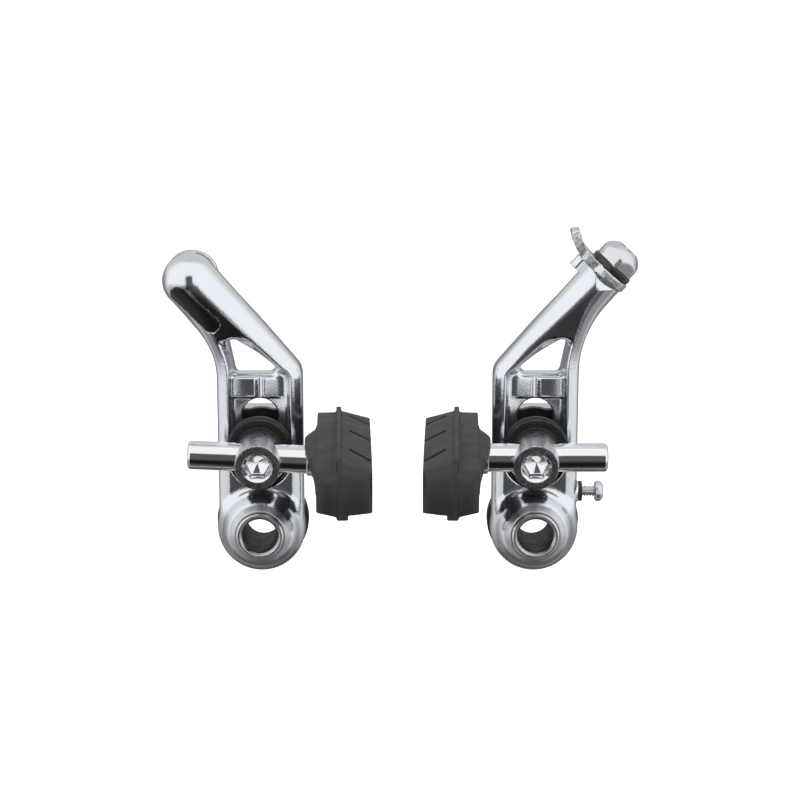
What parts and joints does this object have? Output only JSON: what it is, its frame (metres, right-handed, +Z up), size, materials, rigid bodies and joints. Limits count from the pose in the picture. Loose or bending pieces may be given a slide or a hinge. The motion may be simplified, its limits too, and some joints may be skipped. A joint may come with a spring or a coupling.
{
  "type": "cantilever brake",
  "caption": "Cantilever rim brake: two cast arms on pivot bushes, each with an eye bolt, washers, shoe post and rubber pad, and a cable anchor on one head.",
  "frame": {"origin": "centre of the left pivot bore, at the rear end of its bush, where it meets the fork's boss", "axes": "X to the right arm, Y along the pivots away from the viewer, Z up"},
  "size_m": [0.1076, 0.0503, 0.0826],
  "materials": {
    "polished_alloy": "polished",
    "satin_steel": "satin",
    "black_plastic": "matte",
    "spring_steel": "satin",
    "zinc_steel": "satin zinc plate",
    "black_steel": "black oxide",
    "chrome_post": "polished",
    "pad_rubber": "matte moulded",
    "ring_rubber": "satin",
    "forged_steel": "plated, slightly rough",
    "badge_black": "gloss"
  },
  "bodies": {
    "pivots": {"left_pivot_bush": "satin_steel", "right_pivot_bush": "satin_steel", "left_spring_cover": "black_plastic", "right_spring_cover": "black_plastic"},
    "left_lever": {"left_arm": "polished_alloy", "left_badge": "badge_black", "left_return_spring": "spring_steel"},
    "left_slider": {"left_dished_washer": "black_steel", "left_rear_washer": "black_steel"},
    "left_eye": {"left_eye_bolt": "zinc_steel", "left_serrated_washer": "black_steel", "left_lock_nut": "zinc_steel"},
    "left_post": {"left_shoe_post": "chrome_post"},
    "left_shoe": {"left_brake_pad": "pad_rubber"},
    "right_lever": {"right_arm": "polished_alloy", "right_return_spring": "spring_steel", "tension_block": "black_plastic"},
    "right_slider": {"right_dished_washer": "black_steel", "right_rear_washer": "black_steel"},
    "right_eye": {"right_eye_bolt": "zinc_steel", "right_serrated_washer": "black_steel", "right_lock_nut": "zinc_steel"},
    "right_post": {"right_shoe_post": "chrome_post"},
    "right_shoe": {"right_brake_pad": "pad_rubber"},
    "anchor_clamp": {"anchor_ring": "ring_rubber", "anchor_plate": "forged_steel"},
    "anchor": {"anchor_bolt": "zinc_steel"},
    "tension": {"tension_screw": "zinc_steel"}
  },
  "joints": [
    {"name": "left_arm_pivot", "type": "hinge", "parent": "pivots", "child": "left_lever", "pos_m": [0, 0, 0], "axis": [0, 1, 0], "range_deg": [-30, 6], "stiffness_Nm_per_rad": 0.6, "deforming": ["left_return_spring"]},
    {"name": "left_eye_height", "type": "slide", "parent": "left_lever", "child": "left_slider", "axis": [0, 0, 1], "range_m": [-0.001, 0.004]},
    {"name": "left_eye_turn", "type": "hinge", "parent": "left_slider", "child": "left_eye", "pos_m": [0, 0, 0.0194], "axis": [0, 1, 0], "range_deg": [-8, 8]},
    {"name": "left_post_reach", "type": "slide", "parent": "left_eye", "child": "left_post", "axis": [1, 0, 0], "range_m": [-0.002, 0.002]},
    {"name": "left_shoe_turn", "type": "hinge", "parent": "left_post", "child": "left_shoe", "pos_m": [0, -0.01825, 0.0194], "axis": [1, 0, 0], "range_deg": [-12, 12]},
    {"name": "right_arm_pivot", "type": "hinge", "parent": "pivots", "child": "right_lever", "pos_m": [0.0626, 0, 0], "axis": [0, -1, 0], "range_deg": [-30, 6], "stiffness_Nm_per_rad": 0.6, "deforming": ["right_return_spring"]},
    {"name": "right_eye_height", "type": "slide", "parent": "right_lever", "child": "right_slider", "axis": [0, 0, 1], "range_m": [-0.001, 0.004]},
    {"name": "right_eye_turn", "type": "hinge", "parent": "right_slider", "child": "right_eye", "pos_m": [0.0626, 0, 0.0194], "axis": [0, -1, 0], "range_deg": [-8, 8]},
    {"name": "right_post_reach", "type": "slide", "parent": "right_eye", "child": "right_post", "axis": [-1, 0, 0], "range_m": [-0.002, 0.002]},
    {"name": "right_shoe_turn", "type": "hinge", "parent": "right_post", "child": "right_shoe", "pos_m": [0.0626, -0.01825, 0.0194], "axis": [1, 0, 0], "range_deg": [-12, 12]},
    {"name": "anchor_bolt_turn", "type": "hinge", "parent": "anchor_clamp", "child": "anchor", "pos_m": [0.0773, -0.0064, 0.0582], "axis": [0.6691, 0, 0.7431], "range_deg": [0, 720]},
    {"name": "anchor_clamp_lift", "type": "slide", "parent": "right_lever", "child": "anchor_clamp", "axis": [0.6691, 0, 0.7431], "range_m": [0, 0.0016]},
    {"name": "tension_screw_travel", "type": "slide", "parent": "right_lever", "child": "tension", "axis": [1, 0, 0], "range_m": [-0.001, 0.003]}
  ],
  "couplings": [
    {"joint": "anchor_bolt_turn", "follows": "anchor_clamp_lift", "rad_per_m": 7854}
  ]
}
